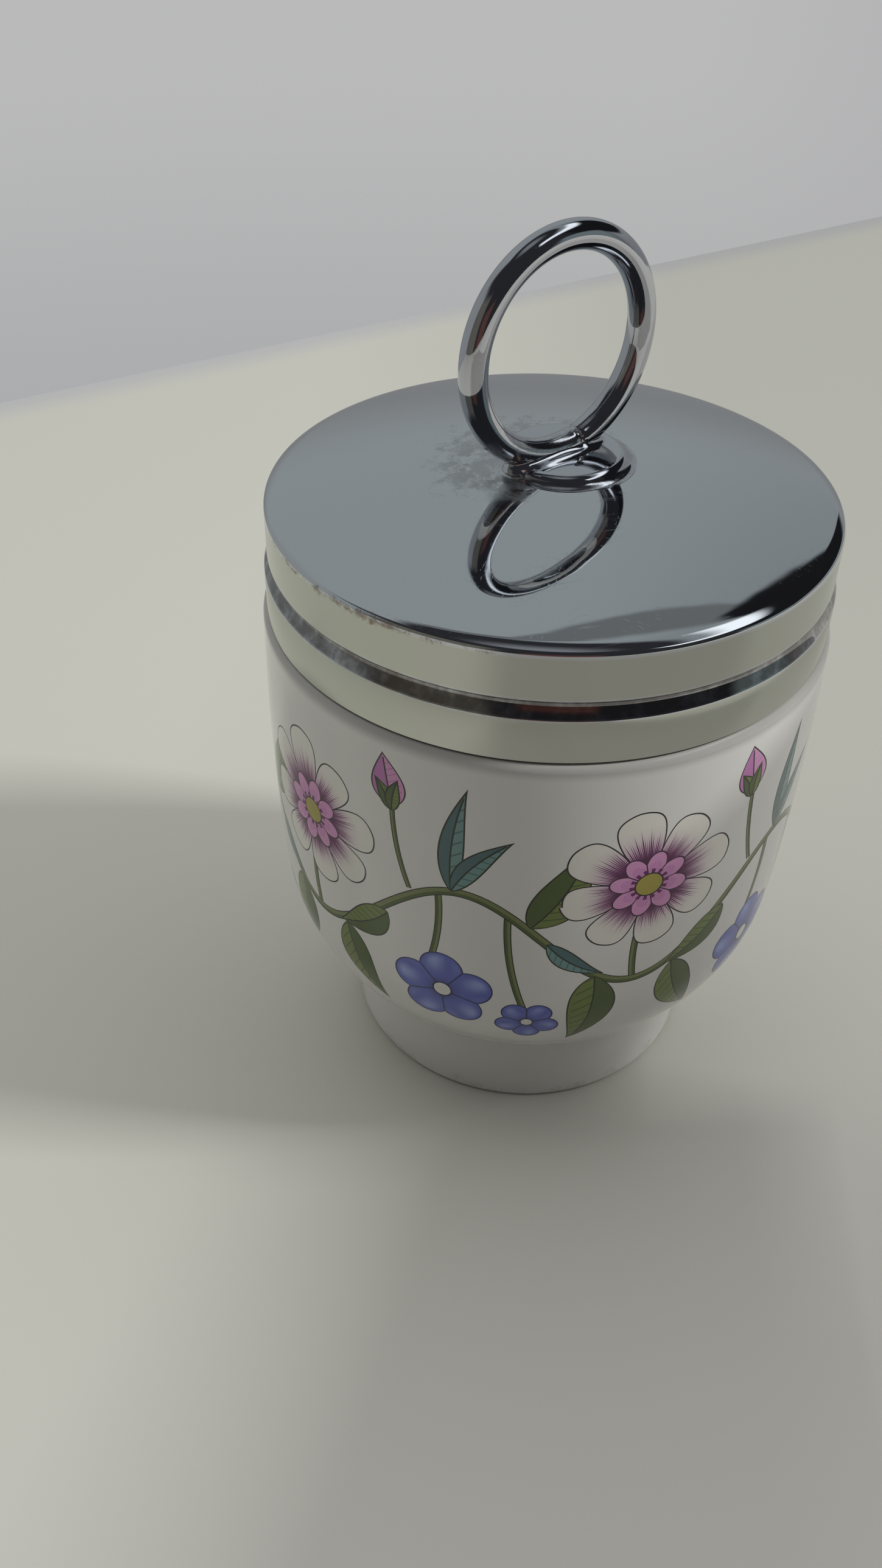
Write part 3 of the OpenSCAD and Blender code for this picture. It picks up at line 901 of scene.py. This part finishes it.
def make_lid_chrome():
    material, shader, place = new_material("lid_chrome", paint(205, 208, 212), 1.0, 0.05,
                                           Anisotropic=0.6)
    tangent = add_node(place.tree, "Tangent", {}, direction_type="RADIAL", axis="Z")
    plug(shader.inputs["Tangent"], tangent.outputs[0])
    x, y, z = axes_of(place)
    groove = abs(z - GROOVE_MIDDLE).ramp(1.35, 1.0)
    satin = z.ramp(EDGE_Z - 0.5, EDGE_Z - 0.9) * (1 - groove)
    # flux left a dull halo round the base, widest behind it and on its left
    from_base = hypot(x - HALO_AT[0], y - HALO_AT[1]) - BASE_TO
    on_top = (z > TOP_FROM) * y.ramp(-3.5, 1.0)
    stain = use_group(stains, place, Distance=from_base, Reach=6.0)[0] * on_top
    halo = from_base.ramp(4.5, 0.5) * on_top * noise(place, 3.5, 3, 0.6).ramp(0.35, 0.6)
    # burnt flux, dull and pale, left of the base
    flux = hypot(x - FLUX_AT[0], y - FLUX_AT[1]).ramp(4.5, 1.5) * (z > TOP_FROM)
    flux = flux * noise(place, 1.2, 4, 0.6).ramp(0.3, 0.5)
    # rust sits where the plating is thin: along the rounded edge, left of the ring's front
    along_edge = hypot(x - RUST_AT[0], y - RUST_AT[1]) * 0.14
    from_edge = abs(z - EDGE_Z + 0.6) * 5.0 + along_edge
    rust = use_group(stains, place, Distance=from_edge, Reach=4.2)[0]
    in_groove = use_group(stains, place, Distance=along_edge, Reach=5.0)[0] * groove * 0.4
    # darker, mottled brown along the middle of the groove
    groove_darkening = abs(z - GROOVE_MIDDLE).ramp(1.1, 0.8) * noise(place, 2.0, 3, 0.6).ramp(0.1, 0.6)
    brushed = noise(place, 0.12, 2, 0.6, (40, 40, 1)) - 0.5
    dots = use_group(specks, place, Spacing=5.0, Size=0.3, Share=0.16)[0]
    hair = use_group(scratches, place)[0]
    wave = use_group(unevenness, place, Across=9.0)[0]
    finish(shader, lay(paint(203, 207, 210), (paint(190, 193, 184), satin),
                       (paint(150, 151, 152), stain * 0.55),
                       (paint(118, 94, 78), (rust + in_groove) * 0.7),
                       (paint(84, 74, 66), groove_darkening * 0.7), (paint(60, 56, 52), dots)),
           satin * (brushed * 0.12 + 0.115) + 0.035 + stain * 0.12 + halo * 0.13
           + flux * 0.25 + (rust + in_groove) * 0.3 + hair * 0.1,
           wave - stain * 0.25 - dots * 0.6 - rust * 0.3 - hair * 0.05 + brushed * satin * 0.2,
           0.012)
    return material


dress(lid, make_lid_chrome())

# %% Wire, base and solder
def make_wire_chrome(name, roughness, stain_reach, ripple, height):
    material, shader, place = new_material(name, paint(192, 195, 201), 1.0, roughness)
    z = axes_of(place)[2]
    stain = use_group(stains, place, Distance=abs(z - height), Reach=stain_reach)[0]
    dots = use_group(specks, place, Spacing=2.4, Size=0.25, Share=0.25)[0]
    hair = use_group(scratches, place)[0]
    wave = use_group(unevenness, place, Across=ripple)[0]
    finish(shader, lay(paint(192, 195, 201), (paint(150, 150, 150), stain * 0.4),
                       (paint(60, 54, 50), dots)),
           stain * 0.12 + roughness + hair * 0.08,
           wave - stain * 0.15 - dots * 0.5 - hair * 0.05, 0.02)
    return material


dress(ring, make_wire_chrome("wire_chrome", 0.035, 6.0, 5.0, BASE_TOP))
dress(base, make_wire_chrome("stand_chrome", 0.04, 0.8, 8.0, CROWN_Z))
dress(solder, make_wire_chrome("solder_chrome", 0.08, 0.6, 3.0, CROWN_Z))

# %% Liner and seal
LINER_LOW = 66


def make_liner_metal():
    material, shader, place = new_material("liner_metal", paint(176, 176, 172), 1.0, 0.32)
    z = axes_of(place)[2]
    rings = noise(place, 0.5, 2, 0.6, (40, 40, 1))
    stain = use_group(stains, place, Distance=abs(z - LINER_LOW), Reach=9.0)[0]
    finish(shader, lay(paint(160, 160, 156), (paint(188, 188, 184), rings),
                       (paint(112, 104, 92), stain * 0.7)),
           rings * 0.2 + 0.22 + stain * 0.25, rings, 0.01)
    return material


def make_seal_rubber():
    material, shader, place = new_material("seal_rubber", paint(48, 45, 42), 0.0, 0.65)
    grain = noise(place, 0.25, 4, 0.6)
    bloom = use_group(stains, place, Distance=0.0, Reach=1.0)[0]
    finish(shader, lay(paint(46, 43, 41), (paint(84, 80, 74), bloom * 0.6)),
           grain * 0.2 + 0.5, grain, 0.03)
    return material


dress(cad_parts["thread_liner"], make_liner_metal())
dress(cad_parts["sealing_ring"], make_seal_rubber())

# %% [markdown]
# ## Table, wall and light
# The object stands on a pale table in front of a pale wall, which is only the world's colour.
# One soft light from the right throws its shadow to the left. Chrome shows the room and little
# else, so reflected rays see a room: a grey-blue wall behind, a dark side behind the
# camera, and a bright window high on the right.

# %% Table
TABLE_MIDDLE, WALL_Y, WALL_SLOPE = -0.782, 0.230, 0.091

deselect_all()
bpy.ops.mesh.primitive_plane_add(size=2, location=(0, TABLE_MIDDLE, 0))
table = name_piece("table")
for vertex in table.data.vertices:
    if vertex.co.y > 0:
        vertex.co.y = WALL_Y - WALL_SLOPE * vertex.co.x
table_top, shader, place = new_material("table_top", (0.5, 0.5, 0.43, 1), 0.0, 0.5)
x, y, _ = axes_of(place)
# a little warmer towards the front, and painted shade: grey over the table's last 13 mm before the
# wall
plug(shader.inputs["Base Color"], lay(
    (0.49, 0.49, 0.428, 1), ((0.503, 0.489, 0.444, 1), y.ramp(30, -70)),
    ((0.42, 0.42, 0.42, 1), (y + x * WALL_SLOPE).ramp(217, 230))))
dress(table, table_top)

# %% Light from the right
TO_RIGHT, TO_BACK = Vector((0.745, -0.667, 0)), Vector((0.667, 0.745, 0))
LAMP_UP, LAMP_AWAY, LAMP_SIZE, LAMP_WATTS, AIM_Z = math.radians(42), 2.0, (0.26, 0.3), 25.5, 0.05

data = bpy.data.lights.new("window", "AREA")
data.shape, data.energy, (data.size, data.size_y) = "RECTANGLE", LAMP_WATTS, LAMP_SIZE
window = bpy.data.objects.new("window", data)
towards = TO_RIGHT * math.cos(LAMP_UP) + Vector((0, 0, math.sin(LAMP_UP)))
window.location = towards * LAMP_AWAY + Vector((0, 0, AIM_Z))
window.rotation_euler = towards.to_track_quat("Z", "Y").to_euler()
window.visible_glossy = False
bpy.context.scene.collection.objects.link(window)
print("window at", [round(c, 2) for c in window.location], "m")

# %% Cards that hold the window's light back
def add_card(name, right, start, end, bottom, top, share, lean=0.0):
    """An upright card, seen by nothing, that stops a share of the light from the right."""
    deselect_all()
    bpy.ops.mesh.primitive_plane_add(size=1, rotation=(0, math.pi / 2, 0))
    card = name_piece(name)
    for vertex in card.data.vertices:
        along = end if vertex.co.y > 0 else start
        flat = TO_RIGHT * right + TO_BACK * along
        vertex.co = (flat.x, flat.y, top + lean * (end - along) if vertex.co.z > 0 else bottom)
    dress(card, new_material(name + "_black", (0.02, 0.02, 0.02, 1), 0.0, 0.9, Alpha=share)[0])
    card.visible_camera = card.visible_glossy = card.visible_diffuse = False


add_card("front_card", 0.08, -0.4, -0.02, 0.04, 0.091, 0.92, lean=0.2)
add_card("far_front_card", 0.25, -0.6, -0.03, 0.0, 0.2205, 0.92, lean=0.2)
add_card("right_card", 0.25, -0.03, 0.6, 0.0, 0.243, 0.55)
add_card("cup_card", 0.05, -0.032, 0.03, 0.034, 0.083, 0.72)

# %% Directions in the room
world = bpy.data.worlds.new("room")
bpy.context.scene.world = world
world.use_nodes = True
tree = world.node_tree
direction = add_node(tree, "TexCoord", {}).outputs["Generated"]


def share_of(towards):
    node = add_node(tree, "VectorMath", {0: direction, 1: tuple(towards)},
                    operation="DOT_PRODUCT")
    return Field(node.outputs["Value"])


backward, rightward, upward = share_of(TO_BACK), share_of(TO_RIGHT), share_of((0, 0, 1))
azimuth = rightward.math("ARCTAN2", backward) * math.degrees(1)
elevation = upward.math("ARCSINE") * math.degrees(1)

# %% What reflections see, as patches
def patch(middle, half, level, half_level, soft, colour):
    """A colour, and its mask at an azimuth and elevation with their half widths, in degrees."""
    aside = abs((azimuth - middle).math("WRAP", 180.0, -180.0)).ramp(half + soft, half - soft)
    above = abs(elevation - level).ramp(half_level + soft, half_level - soft)
    return (*colour, 1), aside * above


seen = lay(
    (0.27, 0.275, 0.28, 1), ((0.36, 0.39, 0.395, 1), elevation.ramp(3, 22)),
    ((0.3, 0.325, 0.34, 1), azimuth.ramp(5, 30) * elevation.ramp(10, 20)),
    patch(180, 100, 20, 58, 12, (0.03, 0.03, 0.034)),
    patch(-80, 34, 5, 34, 8, (0.33, 0.345, 0.35)),
    patch(172, 14, 2, 19, 3, (0.12, 0.055, 0.048)),
    patch(-140, 22, 5, 34, 6, (0.15, 0.14, 0.12)))

# %% The slanted ceiling, the dark doorway and the bright window
over_wall = rightward * 0.4935 - backward * 0.7373 + upward * 0.4609 + 0.012
ceiling = over_wall.ramp(-0.006, 0.006) * over_wall.ramp(0.075, 0.05)
past_door = rightward * 0.8807 - backward * 0.462 + upward * 0.1043
doorway = past_door.ramp(0.03, 0.042) * elevation.ramp(49, 46.5) * azimuth.ramp(10, 15)
doorway = doorway * elevation.ramp(12, 17)
seen = lay(
    seen, ((0.03, 0.03, 0.034, 1), elevation.ramp(61, 66)),
    ((0.25, 0.26, 0.28, 1), elevation.ramp(72, 86)),
    ((0.18, 0.19, 0.195, 1), ceiling * abs(azimuth - 5).ramp(44, 38)),
    ((0.012, 0.012, 0.014, 1), doorway * azimuth.ramp(100, 92)),
    patch(93, 12, 2, 15, 3, (0.2, 0.24, 0.25)),
    patch(77, 43, 52, 5, 3, (1.4, 1.45, 1.5)))

# %% The world for the camera, for reflections and for soft light
path = add_node(tree, "LightPath", {}).outputs
# painted shade on the wall: darker low down, where it meets the table, and darker towards the right
wall = lay((0.41, 0.415, 0.42, 1), ((0.49, 0.49, 0.495, 1), elevation.ramp(-25, -11)),
           ((0.43, 0.43, 0.44, 1), azimuth.ramp(2, 20) * elevation.ramp(-30, -20)))
soft_light = (backward * 1.0 + upward * 0.85 + 0.24).math("MAXIMUM", 0.015)
light = lay((0, 0, 0, 1), ((1.05, 1.05, 1.06, 1), soft_light),
            (seen, Field(path["Is Glossy Ray"])), (wall, Field(path["Is Camera Ray"])))
plug(tree.nodes["Background"].inputs["Color"], light)
bpy.context.scene.view_settings.view_transform = "Standard"
print("room:", len(tree.nodes), "nodes")
